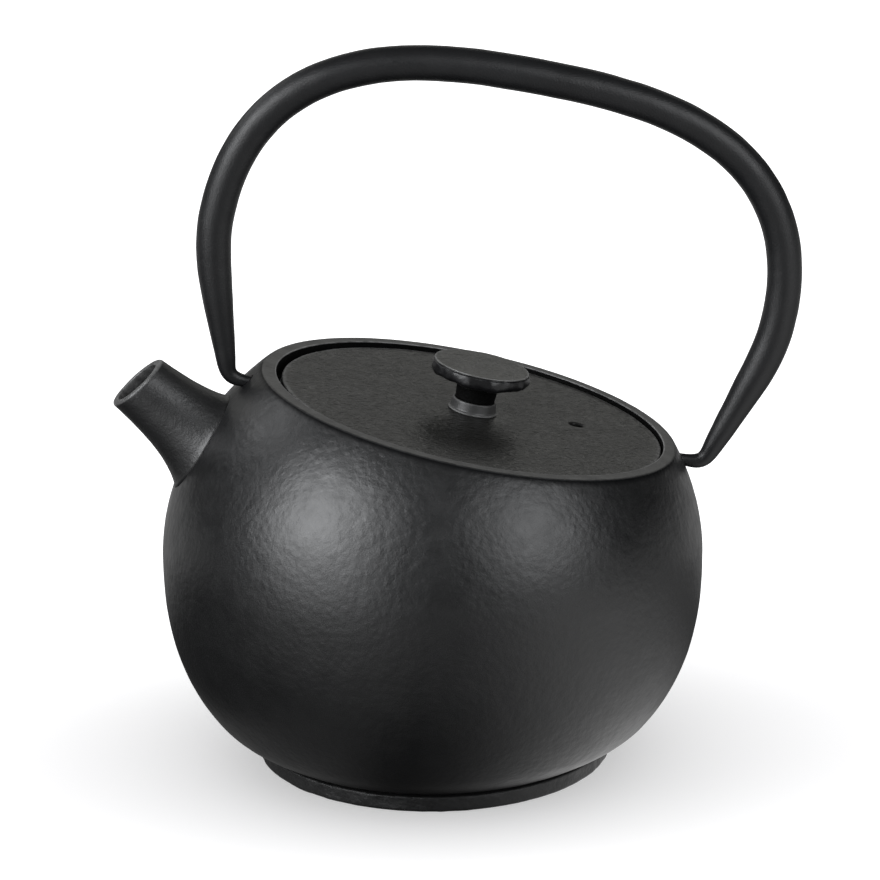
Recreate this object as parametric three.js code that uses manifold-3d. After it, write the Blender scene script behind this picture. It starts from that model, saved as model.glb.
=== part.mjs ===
// A round black cast-iron teapot with a slanted lid, a swinging bail handle and a steel tea infuser.
// Millimetres, +Z up, the foot on z = 0, the spout towards -X, the low side of the rim towards +X.
import * as THREE from "three";
import { mergeVertices } from "three/addons/utils/BufferGeometryUtils.js";
import Module from "manifold-3d";

const wasm = await Module();
wasm.setup();

// ---- Driving dimensions ----
const GAP = 0.3; // left between neighbouring pieces
const PAST = 1; // how far a cutter reaches past what it cuts
const WELD = 1e-4; // corners closer than this are one corner

// Facets round each kind of piece, and steps along each kind of curve.
const ROUND = 60; // large turned pieces
const SMALL_ROUND = 30; // small turned pieces
const KNOB_ROUND = 40;
const SPOUT_ROUND = 40;
const BASKET_ROUND = 54;
const BAR_ROUND = 16;
const DRILL_ROUND = 24; // vent, screw hole and pin holes
const PUNCH_ROUND = 6; // holes in the infuser
const STEPS = { belly: 8, shoulder: 15, sweep: 4, insideBelly: 7, insideShoulder: 11, spout: 12 };
const BAR_STEPS = { hook: 5, leg: 5, arch: 20 };

// Pot: two superellipse halves turned about Z, widest at BELT_Z.
const POT_R = 75;
const BELT_Z = 58.5;
const SHOULDER = { height: 68.7, power: 1.94 };
const BELLY = { height: 66.8, power: 2.45 };
const WALL = 3.7;
const FLOOR_Z = 6; // inside bottom
const FOOT = { radius: 49.6, height: 5, ring: 5.2, recess: 1.6, chamfer: 0.7 };
const BELLY_SWEEP = { top: 14, pull: 3.7 }; // below top the belly runs flatter into the foot

// Rim: the pot is cut by a plane that leans towards +X.
const TILT = THREE.MathUtils.degToRad(12);
const RIM_CENTRE = new THREE.Vector3(10.8, 0, 99.7);
const SEAT_R = 54.4; // recess that holds the lid
const SEAT_DEPTH = 5.2;
const LEDGE_THICKNESS = 2.8;
const THROAT_R = 49;

// Lid, seen from the rim plane down. It lies slipped towards the low side of its seat.
const LID = { radius: 53.3, top: -1.2, thickness: 2.8, edge: 0.4, slip: 0.75 };
const LID_SPIGOT = { outer: 46.1, inner: 44.5, height: 4 };
const VENT = { radius: 2, distance: 30.1, angle: THREE.MathUtils.degToRad(8) };

// Knob: disc on a stem, on a collar, held by a screw from below.
const KNOB = { radius: 13.5, height: 13.3, lip: 3.5, stem: 5.7, underside: 8, edge: 0.5, fillet: 0.6 };
const COLLAR = { foot: 6.85, bead: 0.4, top: 6.05, height: 3.3 };
const SCREW = { shank: 1.9, head: 4.2, headHeight: 2.4, slot: 1, chamfer: 0.6, clear: 2.25, end: 10 };
const WASHER = { radius: 6.5, thickness: 1 };

// Spout: a trumpet on a rising axis.
const SPOUT_RISE = THREE.MathUtils.degToRad(42.2);
const SPOUT_MOUTH = new THREE.Vector3(-80.65, 0, 108.85);
const SPOUT_MOUTH_TURN = THREE.MathUtils.degToRad(7.4); // the mouth faces a little higher than the axis
const SPOUT = { radius: 8.95, flare: 0.59, flareLength: 10.9, root: 30, over: 2.5 };
const BORE = { mouth: 6.7, root: 8.5, taper: 20, over: 5, wallStart: 15 };

// Bail handle: a round bar, bent symmetrically, in the tilted plane through both pins.
const PIN_DEPTH = 4.4; // below the rim plane
const PIN = { radius: 1.5, holeRadius: 1.85, inner: 56.6, holeEnd: 56.2 };
const HOOK_R = 4.2;
const LEG_LEAN = THREE.MathUtils.degToRad(17.7);
const LEG_FOOT_X = 66.94; // where the leg's line would cross the pin axis
const LEG_TOP = 34;
const ARCH = { halfWidth: 78.8, centre: 36.9, height: 61.1, power: 2.7, start: 6 };
const BAR = { radius: 4.8, legFoot: 2.25, fullHeight: 28.5 };

// Infuser: stamped rim, perforated wall and base.
const SHEET = 0.6;
const INFUSER = { lip: 53, collar: 48, collarDepth: 6, radius: 38, depth: 40 };
const WALL_HOLES = { rows: 5, round: 18, radius: 2.4 };
const BASE_HOLES = { rings: 3, pitch: 10, radius: 2.4 };

// ---- Materials ----
const castIron = new THREE.MeshStandardMaterial({ color: 0x1d1e20, roughness: 0.55, metalness: 0.3 });
const lidIron = new THREE.MeshStandardMaterial({ color: 0x242422, roughness: 0.8, metalness: 0.2 });
const barIron = new THREE.MeshStandardMaterial({ color: 0x1a1b1d, roughness: 0.45, metalness: 0.3 });
const collarPaint = new THREE.MeshStandardMaterial({ color: 0x333335, roughness: 0.4, metalness: 0.4 });
const steel = new THREE.MeshStandardMaterial({ color: 0xb8bcc0, roughness: 0.3, metalness: 0.9 });

// ---- Solids ----
// A three.js geometry as a manifold-3d solid: shared vertices merged, collapsed triangles dropped.
function solidFrom(geometry, matrix = new THREE.Matrix4()) {
  const bare = geometry.clone().applyMatrix4(matrix);
  bare.deleteAttribute("normal");
  bare.deleteAttribute("uv");
  const merged = mergeVertices(bare, WELD);
  const corners = merged.index.array;
  const kept = [];
  for (let i = 0; i < corners.length; i += 3) {
    const [a, b, c] = [corners[i], corners[i + 1], corners[i + 2]];
    if (a !== b && b !== c && c !== a) {
      kept.push(a, b, c);
    }
  }
  const vertProperties = new Float32Array(merged.attributes.position.array);
  return new wasm.Manifold(new wasm.Mesh({ numProp: 3, vertProperties, triVerts: new Uint32Array(kept) }));
}

// A named mesh made from a solid.
function piece(name, solid, material) {
  const { numProp, vertProperties, triVerts } = solid.getMesh();
  const positions = new Float32Array((vertProperties.length / numProp) * 3);
  for (let i = 0; i < positions.length / 3; i++) {
    positions.set(vertProperties.subarray(i * numProp, i * numProp + 3), i * 3);
  }
  const geometry = new THREE.BufferGeometry();
  geometry.setAttribute("position", new THREE.BufferAttribute(positions, 3));
  geometry.setIndex([...triVerts]);
  geometry.computeVertexNormals();
  const mesh = new THREE.Mesh(geometry, material);
  mesh.name = name;
  return mesh;
}

// Turns an outline of [radius, height] points about Z. The outline runs upwards on its outer side.
function turned(outline, facets = SMALL_ROUND, matrix) {
  const points = outline.map(([radius, height]) => new THREE.Vector2(radius, height));
  const geometry = new THREE.LatheGeometry(points, facets).rotateX(Math.PI / 2);
  return solidFrom(geometry, matrix);
}

// A plain cylinder from height low to height high.
function disc(radius, low, high, facets = SMALL_ROUND, matrix) {
  return turned([[0, low], [radius, low], [radius, high], [0, high]], facets, matrix);
}

// A ring with a rectangular section, as a closed outline.
function ring(inner, outer, low, high, facets = SMALL_ROUND) {
  return turned([[inner, low], [outer, low], [outer, high], [inner, high], [inner, low]], facets);
}

// Everything above a height, in the frame that matrix gives.
function allAbove(height, matrix) {
  const size = 400;
  return solidFrom(new THREE.BoxGeometry(size, size, size).translate(0, 0, height + size / 2), matrix);
}

// ---- Frames ----
const RIM_FRAME = new THREE.Matrix4().makeRotationY(TILT).setPosition(RIM_CENTRE);
const SPOUT_TURN = SPOUT_RISE - Math.PI / 2;
const SPOUT_FRAME = new THREE.Matrix4().makeRotationY(SPOUT_TURN).setPosition(SPOUT_MOUTH);

function groupAt(position, turnAboutY) {
  const group = new THREE.Group();
  group.position.copy(position);
  group.rotation.y = turnAboutY;
  return group;
}

// ---- Pot ----
// Points on one superellipse half from angle start to angle end, inset from the outside by inset.
function superellipse(half, sign, inset, start, end, count) {
  const points = [];
  for (let i = 0; i <= count; i++) {
    const angle = start + ((end - start) * i) / count;
    const across = Math.max(Math.cos(angle), 0) ** (2 / half.power);
    const along = Math.max(Math.sin(angle), 0) ** (2 / half.power);
    points.push([(POT_R - inset) * across, BELT_Z + sign * (half.height - inset) * along]);
  }
  return points;
}

// The angle at which the lower half, inset from the outside, reaches a height.
function bellyAngle(height, inset) {
  return Math.asin(((BELT_Z - height) / (BELLY.height - inset)) ** (BELLY.power / 2));
}

// The belly's sweep into the foot, ending at the top of the foot's side.
function bellySweep(grow) {
  const [[x, z]] = superellipse(BELLY, -1, -grow, bellyAngle(BELLY_SWEEP.top, -grow), 0, 1);
  const foot = new THREE.Vector2(FOOT.radius + grow, FOOT.height);
  const middle = new THREE.Vector2(x - BELLY_SWEEP.pull, (z + foot.y) / 2);
  const curve = new THREE.QuadraticBezierCurve(foot, middle, new THREE.Vector2(x, z));
  return curve.getPoints(STEPS.sweep).slice(0, -1).map((point) => [point.x, point.y]);
}

// The closed outside of the pot, before the rim is cut, grown by grow.
function potOutside(grow = 0) {
  const { radius, ring: width, recess, chamfer } = FOOT;
  const inner = radius - width;
  return turned([
    [0, recess],
    [inner - recess / 2, recess],
    [inner, 0],
    [radius - chamfer, 0],
    [radius + grow, chamfer],
    ...bellySweep(grow),
    ...superellipse(BELLY, -1, -grow, bellyAngle(BELLY_SWEEP.top, -grow), 0, STEPS.belly),
    ...superellipse(SHOULDER, 1, -grow, 0, Math.PI / 2, STEPS.shoulder).slice(1),
  ], ROUND);
}

function potCavity() {
  const start = bellyAngle(FLOOR_Z, WALL);
  const chamber = turned([
    [0, FLOOR_Z],
    ...superellipse(BELLY, -1, WALL, start, 0, STEPS.insideBelly),
    ...superellipse(SHOULDER, 1, WALL, 0, Math.PI / 2, STEPS.insideShoulder).slice(1),
  ], ROUND);
  const ledgeBottom = -SEAT_DEPTH - LEDGE_THICKNESS;
  const throat = disc(THROAT_R, ledgeBottom - PAST, PAST, ROUND, RIM_FRAME);
  const seat = disc(SEAT_R, -SEAT_DEPTH, PAST, ROUND, RIM_FRAME);
  return chamber.subtract(allAbove(ledgeBottom, RIM_FRAME)).add(throat).add(seat);
}

// A blind hole for one end of the handle; side is 1 or -1.
function pinHole(side) {
  const reach = 20;
  const bar = new THREE.CylinderGeometry(PIN.holeRadius, PIN.holeRadius, reach, DRILL_ROUND);
  bar.rotateZ(Math.PI / 2).translate(side * (PIN.holeEnd + reach / 2), 0, -PIN_DEPTH);
  return solidFrom(bar, RIM_FRAME);
}

function potBody() {
  const pourHole = disc(BORE.root, -SPOUT.root - BORE.over, -BORE.wallStart, SMALL_ROUND, SPOUT_FRAME);
  const shell = potOutside().subtract(allAbove(0, RIM_FRAME)).subtract(potCavity());
  return shell.subtract(pinHole(1)).subtract(pinHole(-1)).subtract(pourHole);
}

// ---- Spout, in its own frame: the axis is Z, the mouth's centre is the origin ----
function spoutRadius(height) {
  return SPOUT.radius + SPOUT.flare * (Math.exp(-height / SPOUT.flareLength) - 1);
}

function spout() {
  const outside = [[0, -SPOUT.root]];
  for (let i = 0; i <= STEPS.spout; i++) {
    const height = -SPOUT.root + ((SPOUT.root + SPOUT.over) * i) / STEPS.spout;
    outside.push([spoutRadius(height), height]);
  }
  outside.push([0, SPOUT.over]);
  const { mouth, root, taper, over } = BORE;
  const end = SPOUT.root + over;
  const bore = turned([[0, -end], [root, -end], [root, -taper], [mouth, 0], [mouth, over], [0, over]]);
  const mouthPlane = new THREE.Matrix4().makeRotationY(SPOUT_MOUTH_TURN);
  const seated = turned(outside, SPOUT_ROUND, SPOUT_FRAME).subtract(potOutside(GAP));
  const toSpout = SPOUT_FRAME.clone().invert();
  return seated.transform(toSpout.elements).subtract(bore).subtract(allAbove(0, mouthPlane));
}

// ---- Lid, about its own middle, with the rim plane at height 0 ----
function lidPlate() {
  const { radius, top, thickness, edge } = LID;
  const bottom = top - thickness;
  const plate = turned([
    [0, bottom],
    [radius - edge, bottom],
    [radius, bottom + edge],
    [radius, top - edge],
    [radius - edge, top],
    [0, top],
  ], ROUND);
  const spigotTop = bottom + thickness / 2;
  const spigot = ring(LID_SPIGOT.inner, LID_SPIGOT.outer, bottom - LID_SPIGOT.height, spigotTop, ROUND);
  const vent = disc(VENT.radius, bottom - PAST, top + PAST, DRILL_ROUND);
  const ventX = VENT.distance * Math.cos(VENT.angle);
  const ventY = VENT.distance * Math.sin(VENT.angle);
  const screwHole = disc(SCREW.clear, bottom - PAST, top + PAST, DRILL_ROUND);
  return plate.add(spigot).subtract(vent.translate(ventX, ventY, 0)).subtract(screwHole);
}

// The knob, its collar and the screw share a frame whose origin is the middle of the lid's top.
function lidKnob() {
  const { radius, height, lip, stem, underside, edge, fillet } = KNOB;
  const bottom = COLLAR.height + GAP;
  return turned([
    [SCREW.clear, bottom],
    [stem, bottom],
    [stem, underside - fillet],
    [stem + fillet, underside],
    [radius - 4 * edge, height - lip - edge],
    [radius - edge, height - lip + edge],
    [radius, height - lip / 2],
    [radius, height - edge],
    [radius - edge, height],
    [0, height],
    [0, SCREW.end + GAP],
    [SCREW.clear, SCREW.end + GAP],
    [SCREW.clear, bottom],
  ], KNOB_ROUND);
}

function knobCollar() {
  const { foot, bead, top, height } = COLLAR;
  return turned([
    [SCREW.clear, GAP],
    [foot, GAP],
    [foot, GAP + bead],
    [foot - bead, GAP + 2 * bead],
    [top, height],
    [SCREW.clear, height],
    [SCREW.clear, GAP],
  ]);
}

function knobWasher() {
  const high = -LID.thickness - GAP;
  return ring(SCREW.clear, WASHER.radius, high - WASHER.thickness, high);
}

// Slotted pan-head screw that comes up through the washer, the lid and the collar.
function knobScrew() {
  const { shank, head, headHeight, slot, chamfer, end } = SCREW;
  const headTop = -LID.thickness - WASHER.thickness - 2 * GAP;
  const headBottom = headTop - headHeight;
  const body = turned([
    [0, headBottom],
    [head - chamfer, headBottom],
    [head, headBottom + chamfer],
    [head, headTop],
    [shank, headTop],
    [shank, end - chamfer],
    [shank - chamfer, end],
    [0, end],
  ]);
  const driverSlot = new THREE.BoxGeometry(3 * head, slot, 2 * slot).translate(0, 0, headBottom);
  return body.subtract(solidFrom(driverSlot));
}

// ---- Handle, in the rim frame with the pin axis along X ----
// Ring centres of one half, from the pin's end to the top, as [x, z, bar radius].
function handleHalf() {
  const turn = Math.PI / 2 - LEG_LEAN;
  const tangentLength = HOOK_R * Math.tan(turn / 2);
  const hookStart = LEG_FOOT_X - tangentLength;
  const points = [[PIN.inner, 0, PIN.radius], [hookStart - PIN.radius, 0, PIN.radius]];
  for (let i = 0; i <= BAR_STEPS.hook; i++) {
    const angle = (turn * i) / BAR_STEPS.hook;
    const radius = THREE.MathUtils.lerp(PIN.radius, BAR.legFoot, Math.sqrt(i / BAR_STEPS.hook));
    points.push([hookStart + HOOK_R * Math.sin(angle), HOOK_R * (1 - Math.cos(angle)), radius]);
  }
  const legFoot = tangentLength * Math.cos(LEG_LEAN);
  for (let i = 1; i <= BAR_STEPS.leg; i++) {
    const height = THREE.MathUtils.lerp(legFoot, LEG_TOP, i / BAR_STEPS.leg);
    points.push([LEG_FOOT_X + height * Math.tan(LEG_LEAN), height, barRadius(height)]);
  }
  const first = Math.asin((ARCH.start / ARCH.height) ** (ARCH.power / 2));
  for (let i = 0; i <= BAR_STEPS.arch; i++) {
    const angle = THREE.MathUtils.lerp(first, Math.PI / 2, i / BAR_STEPS.arch);
    const x = ARCH.halfWidth * Math.max(Math.cos(angle), 0) ** (2 / ARCH.power);
    points.push([x, ARCH.centre + ARCH.height * Math.sin(angle) ** (2 / ARCH.power), BAR.radius]);
  }
  return points;
}

// The bar thickens evenly up the leg.
function barRadius(height) {
  return THREE.MathUtils.lerp(BAR.legFoot, BAR.radius, Math.min(height / BAR.fullHeight, 1));
}

// A capped cylinder is bent onto the path: each of its rings goes to one ring centre.
function handle() {
  const half = handleHalf();
  const otherHalf = half.slice(0, -1).reverse().map(([x, z, radius]) => [-x, z, radius]);
  const path = [...half, ...otherHalf];
  const last = path.length - 1;
  const bar = new THREE.CylinderGeometry(1, 1, last, BAR_ROUND, last);
  const position = bar.attributes.position;
  for (let i = 0; i < position.count; i++) {
    const k = Math.round(position.getY(i) + last / 2);
    const [x, z, radius] = path[k];
    const before = path[Math.max(k - 1, 0)];
    const after = path[Math.min(k + 1, last)];
    const tangent = new THREE.Vector2(after[0] - before[0], after[1] - before[1]).normalize();
    const across = position.getX(i) * radius;
    const depth = position.getZ(i) * radius;
    position.setXYZ(i, x - across * tangent.y, depth, z + across * tangent.x);
  }
  return solidFrom(bar);
}

// ---- Infuser, in the rim frame ----
const INFUSER_TOP = -SEAT_DEPTH + GAP + SHEET;
const INFUSER_FLOOR = INFUSER_TOP - INFUSER.collarDepth;

// A stamped ring: a lip on the ledge, a short collar and a flat web that carries the wall.
function infuserRim() {
  const { lip, collar, radius } = INFUSER;
  const web = INFUSER_FLOOR - SHEET;
  return turned([
    [lip, INFUSER_TOP - SHEET],
    [lip, INFUSER_TOP],
    [collar - SHEET, INFUSER_TOP],
    [collar - SHEET, INFUSER_FLOOR],
    [radius + GAP, INFUSER_FLOOR],
    [radius + GAP, web],
    [collar, web],
    [collar, INFUSER_TOP - SHEET],
    [lip, INFUSER_TOP - SHEET],
  ], ROUND);
}

function infuserWall() {
  const { radius, depth } = INFUSER;
  const bottom = INFUSER_FLOOR - depth;
  let wall = ring(radius - SHEET, radius, bottom, INFUSER_FLOOR + SHEET, BASKET_ROUND);
  const rowPitch = depth / (WALL_HOLES.rows + 1);
  for (let row = 1; row <= WALL_HOLES.rows; row++) {
    for (let k = 0; k < WALL_HOLES.round; k++) {
      const angle = ((k + (row % 2) / 2) / WALL_HOLES.round) * 2 * Math.PI;
      const reach = SHEET + 2 * PAST;
      const punch = new THREE.CylinderGeometry(WALL_HOLES.radius, WALL_HOLES.radius, reach, PUNCH_ROUND);
      punch.rotateZ(Math.PI / 2).translate(radius, 0, 0).rotateZ(angle);
      wall = wall.subtract(solidFrom(punch.translate(0, 0, bottom + row * rowPitch)));
    }
  }
  return wall;
}

function infuserBase() {
  const radius = INFUSER.radius - SHEET - GAP;
  const bottom = INFUSER_FLOOR - INFUSER.depth;
  let base = disc(radius, bottom, bottom + SHEET, BASKET_ROUND);
  for (let ringIndex = 0; ringIndex <= BASE_HOLES.rings; ringIndex++) {
    const holes = Math.max(6 * ringIndex, 1);
    for (let k = 0; k < holes; k++) {
      const angle = (k / holes) * 2 * Math.PI;
      const out = ringIndex * BASE_HOLES.pitch;
      const punch = disc(BASE_HOLES.radius, bottom - PAST, bottom + SHEET + PAST, PUNCH_ROUND);
      base = base.subtract(punch.translate(out * Math.cos(angle), out * Math.sin(angle), 0));
    }
  }
  return base;
}

// ---- Assembly ----
const teapot = new THREE.Group();
teapot.add(piece("pot_body", potBody(), castIron));

const spoutGroup = groupAt(SPOUT_MOUTH, SPOUT_TURN);
spoutGroup.add(piece("spout", spout(), castIron));
teapot.add(spoutGroup);

const rimGroup = groupAt(RIM_CENTRE, TILT);
teapot.add(rimGroup);
rimGroup.add(piece("infuser_rim", infuserRim(), steel));
rimGroup.add(piece("infuser_wall", infuserWall(), steel));
rimGroup.add(piece("infuser_base", infuserBase(), steel));

const lidGroup = groupAt(new THREE.Vector3(LID.slip, 0, 0), 0);
rimGroup.add(lidGroup);
lidGroup.add(piece("lid_plate", lidPlate(), lidIron));

const knobGroup = groupAt(new THREE.Vector3(0, 0, LID.top), 0);
lidGroup.add(knobGroup);
knobGroup.add(piece("lid_knob", lidKnob(), lidIron));
knobGroup.add(piece("knob_collar", knobCollar(), collarPaint));
knobGroup.add(piece("knob_washer", knobWasher(), steel));
knobGroup.add(piece("knob_screw", knobScrew(), steel));

const handleGroup = groupAt(new THREE.Vector3(0, 0, -PIN_DEPTH), 0);
rimGroup.add(handleGroup);
handleGroup.add(piece("handle", handle(), barIron));

// The origin is the middle of the whole object's own box, on the ground.
teapot.updateMatrixWorld(true);
const middle = new THREE.Box3().setFromObject(teapot, true).getCenter(new THREE.Vector3());
teapot.position.x = -middle.x;
teapot.updateMatrixWorld(true);

export default teapot;
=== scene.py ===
import math

import bmesh
import bpy
import numpy as np
from mathutils import Matrix, Vector, noise


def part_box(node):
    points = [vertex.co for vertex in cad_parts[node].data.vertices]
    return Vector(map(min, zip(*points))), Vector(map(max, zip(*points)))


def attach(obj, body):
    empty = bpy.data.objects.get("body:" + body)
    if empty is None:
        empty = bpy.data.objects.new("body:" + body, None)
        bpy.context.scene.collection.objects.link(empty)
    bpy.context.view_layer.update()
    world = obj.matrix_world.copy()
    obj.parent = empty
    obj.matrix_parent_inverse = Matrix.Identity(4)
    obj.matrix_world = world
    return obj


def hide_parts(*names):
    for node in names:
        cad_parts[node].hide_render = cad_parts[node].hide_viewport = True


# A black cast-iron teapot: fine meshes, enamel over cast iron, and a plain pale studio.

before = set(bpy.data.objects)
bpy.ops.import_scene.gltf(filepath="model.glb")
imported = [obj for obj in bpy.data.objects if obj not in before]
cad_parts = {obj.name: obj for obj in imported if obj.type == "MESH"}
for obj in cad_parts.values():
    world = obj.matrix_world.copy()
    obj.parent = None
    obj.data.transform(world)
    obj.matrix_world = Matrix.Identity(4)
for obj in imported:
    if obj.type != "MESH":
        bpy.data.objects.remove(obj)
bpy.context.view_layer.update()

# ---- Dimensions, in millimetres, with the pot's axis at x = 0 and the ground at z = 0 ----
MM = 0.001
SAME_PLACE = 1e-6  # corners closer than this are one corner, metres
SHARP_EDGE = math.radians(38)  # cut edges steeper than this are shaded sharp
BISECTIONS = 40
pot_low, pot_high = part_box("pot_body")
AXIS_X = (pot_low.x + pot_high.x) / 2  # the pot's axis in the row frame, metres
POT_R = (pot_high.y - pot_low.y) / 2 / MM

BELT_Z = 58.5  # height of the widest circle
SHOULDER_H, SHOULDER_N = 68.7, 1.94  # superellipse above the belt
BELLY_H, BELLY_N = 66.8, 2.45  # superellipse below the belt
SWEEP_Z, SWEEP_PULL = 14.0, 3.7  # below this the belly runs flatter into the foot
WALL = 3.7
FLOOR_Z = 6.0
FOOT_R, FOOT_H, FOOT_RING, FOOT_RECESS = 49.6, 5.0, 5.2, 1.6

TILT = math.radians(12.0)
RIM_CENTRE = np.array([10.8, 0.0, 99.7])
RIM_U = np.array([math.cos(TILT), 0.0, -math.sin(TILT)])
RIM_V = np.array([0.0, 1.0, 0.0])
RIM_N = np.array([math.sin(TILT), 0.0, math.cos(TILT)])
SEAT_R, SEAT_DEPTH, LEDGE = 54.4, 5.2, 2.8
THROAT_R = 49.0

LID_R, LID_TOP, LID_THICKNESS = 53.3, -1.2, 2.8
LID_SLIP = np.array([0.75, 0.0, 0.0])  # the lid lies towards the low side of its seat
SPIGOT_OUTER, SPIGOT_INNER, SPIGOT_H = 46.1, 44.5, 4.0
VENT_R, VENT_OUT, VENT_ANGLE = 2.0, 30.1, math.radians(8.0)
KNOB_R, KNOB_H, KNOB_STEM = 13.5, 13.3, 5.7
COLLAR_FOOT, COLLAR_TOP, COLLAR_H = 6.85, 6.05, 3.3
SCREW_CLEAR = 2.25

SPOUT_RISE = math.radians(42.2)
SPOUT_MOUTH = np.array([-80.65, 0.0, 108.85])
SPOUT_TURN = math.radians(7.4)  # the mouth faces a little higher than the axis
SPOUT_R, SPOUT_FLARE, SPOUT_FLARE_LENGTH = 8.95, 0.59, 10.9
SPOUT_LIP = 0.7  # rounding of the mouth's outer edge
SPOUT_SEAM = -0.2  # the root stands this far into the bowl
BORE_MOUTH, BORE_ROOT, BORE_TAPER = 6.7, 8.5, 20.0

PIN_DEPTH = 4.4  # below the rim plane
PIN_R, PIN_BEND_R, PIN_HOLE_R = 1.5, 2.0, 1.85
PIN_INNER, PIN_HOLE_END, PIN_HOLE_REACH = 56.8, 56.2, 75.0  # distances from the rim's axis
HOOK_R, LEG_LEAN, LEG_FOOT_X, LEG_TOP = 3.4, math.radians(17.7), 66.94, 34.0
ARCH_HALF, ARCH_Z, ARCH_H, ARCH_N, ARCH_START = 78.8, 36.9, 61.1, 2.7, 6.0
BAR_R, BAR_FOOT_R, BAR_FULL = 4.8, 2.25, 28.5

GAP = 0.3  # between the infuser and the ledge
SHEET = 0.6
INFUSER_LIP, INFUSER_COLLAR, INFUSER_R = 53.0, 48.0, 38.0
INFUSER_STEP, INFUSER_DEPTH = 6.0, 40.0
INFUSER_TOP = -SEAT_DEPTH + GAP + SHEET
INFUSER_FLOOR = INFUSER_TOP - INFUSER_STEP


# ---- Frames ----
def rim_frame(points):
    """Points of the rim frame (x along the slope, z out of the rim plane) in the pot's frame."""
    p = np.asarray(points, float)
    return RIM_CENTRE + p[..., :1] * RIM_U + p[..., 1:2] * RIM_V + p[..., 2:3] * RIM_N


def lid_frame(points):
    """The rim frame moved to the lid's own middle."""
    return rim_frame(np.asarray(points, float) + LID_SLIP)


SPOUT_AXIS = np.array([-math.cos(SPOUT_RISE), 0.0, math.sin(SPOUT_RISE)])
SPOUT_SIDE = np.array([math.sin(SPOUT_RISE), 0.0, math.cos(SPOUT_RISE)])


def spout_frame(points):
    """Points of the spout frame (z out of the mouth along the axis) in the pot's frame."""
    p = np.asarray(points, float)
    return SPOUT_MOUTH + p[..., :1] * SPOUT_SIDE + p[..., 1:2] * RIM_V + p[..., 2:3] * SPOUT_AXIS


def plane_distance(points):
    """Height of points above the rim plane."""
    return (points - RIM_CENTRE) @ RIM_N


# ---- Mesh building ----
def make_object(name, vertices, faces):
    """A smooth mesh object from points in the pot's frame."""
    mesh = bpy.data.meshes.new(name)
    row_frame = np.asarray(vertices, float) * MM + np.array([AXIS_X, 0.0, 0.0])
    mesh.from_pydata(row_frame.tolist(), [], faces)
    mesh.validate()
    mesh.polygons.foreach_set("use_smooth", [True] * len(mesh.polygons))
    obj = bpy.data.objects.new(name, mesh)
    bpy.context.scene.collection.objects.link(obj)
    return obj


def skin(name, rows, loop=False):
    """A closed skin over rows of points. Each row goes once round, the rows run upwards on the outside.
    A row of one point closes an end; with loop the last row joins the first."""
    vertices, starts, faces = [], [], []
    for row in rows:
        starts.append(len(vertices))
        vertices.extend(np.asarray(row, float).reshape(-1, 3))
    pairs = list(zip(range(len(rows) - 1), range(1, len(rows))))
    if loop:
        pairs.append((len(rows) - 1, 0))
    for low, high in pairs:
        a, b = starts[low], starts[high]
        n, m = len(rows[low]), len(rows[high])
        for j in range(max(n, m)):
            k = (j + 1) % max(n, m)
            if n == 1:
                faces.append((a, b + k, b + j))
            elif m == 1:
                faces.append((a + j, a + k, b))
            else:
                faces.append((a + j, a + k, b + k, b + j))
    return make_object(name, vertices, faces)


def circle(radius, height, columns):
    """One ring of points round the z axis."""
    if radius < 1e-6:
        return np.array([[0.0, 0.0, height]])
    angle = np.linspace(0, 2 * math.pi, columns, endpoint=False)
    return np.stack([radius * np.cos(angle), radius * np.sin(angle), np.full(columns, height)], 1)


def turned(name, outline, columns, place=rim_frame, loop=False):
    """Turns an outline of (radius, height) about z and puts it in place."""
    return skin(name, [place(circle(r, z, columns)) for r, z in outline], loop)


def arc(centre_r, centre_z, radius, start, end, steps):
    """Points of a round stretch of an outline; angles in degrees, 0 outwards and 90 upwards."""
    angles = np.radians(np.linspace(start, end, steps + 1))
    return [(centre_r + radius * math.cos(a), centre_z + radius * math.sin(a)) for a in angles]


def line(start, end, step):
    """Evenly spaced points from start to end, without the end itself."""
    count = max(1, round(math.dist(start, end) / step))
    return [tuple(np.array(start) + (np.array(end) - np.array(start)) * i / count) for i in range(count)]


def bezier(start, middle, end, steps):
    """A quadratic curve, the end itself left out. Works on points and on whole rows of points."""
    shares = [i / steps for i in range(steps)]
    return [start * (1 - t) ** 2 + middle * 2 * t * (1 - t) + end * t * t for t in shares]


def roughen(obj, depth, size, seed, octaves=3):
    """Moves the surface in and out by noise.
    depth in mm is a number or a function of the pot-frame points."""
    mesh = obj.data
    count = len(mesh.vertices)
    places, normals = np.zeros(count * 3), np.zeros(count * 3)
    mesh.vertices.foreach_get("co", places)
    mesh.vertices.foreach_get("normal", normals)
    places, normals = places.reshape(-1, 3), normals.reshape(-1, 3)
    points = (places - np.array([AXIS_X, 0.0, 0.0])) / MM
    amount = depth(points) if callable(depth) else np.full(count, depth)
    offset = Vector((seed * 17.3, seed * 5.9, seed * 11.1))
    for i in np.nonzero(amount)[0]:
        value = noise.fractal(Vector(points[i]) / size + offset, 1.0, 2.0, octaves)
        places[i] += normals[i] * (value * amount[i] * MM)
    mesh.vertices.foreach_set("co", places.ravel())
    mesh.update()


def join_corners(mesh):
    """Joins corners that lie on each other and drops the faces that this leaves flat."""
    work = bmesh.new()
    work.from_mesh(mesh)
    bmesh.ops.remove_doubles(work, verts=work.verts, dist=SAME_PLACE)
    bmesh.ops.dissolve_degenerate(work, edges=work.edges, dist=SAME_PLACE)
    work.to_mesh(mesh)
    work.free()


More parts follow.
